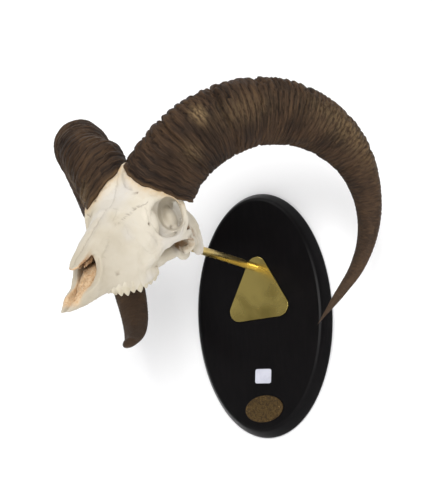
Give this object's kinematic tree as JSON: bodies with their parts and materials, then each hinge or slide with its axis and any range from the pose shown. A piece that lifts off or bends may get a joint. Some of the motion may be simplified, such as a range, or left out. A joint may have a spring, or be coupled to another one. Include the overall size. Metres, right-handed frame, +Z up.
{
  "type": "ram skull wall mount",
  "caption": "Ram skull with a pair of ridged, curling horns and no lower jaw, held by a brass rod and a rounded triangular plate in front of an oval black wall plaque.",
  "frame": {"origin": "centre of the plaque's back face, which lies against the wall", "axes": "+Z up the wall, +Y into the wall out of the plaque's back, +X towards the animal's left; the skull faces -Y"},
  "size_m": [0.3983, 0.4267, 0.3609],
  "materials": {
    "bone": "matt, dry bone",
    "horn": "satin, ridged",
    "polished_brass": "polished",
    "aged_brass": "patinated",
    "black_wood": "satin black lacquer",
    "paper": "matt"
  },
  "bodies": {
    "root": {"plaque": "black_wood", "mount_plate": "polished_brass", "label": "paper", "tag": "aged_brass", "tag_pin_left": "aged_brass", "tag_pin_right": "aged_brass", "mount_rod": "polished_brass", "horn_left": "horn", "horn_right": "horn", "skull": "bone"}
  },
  "joints": []
}
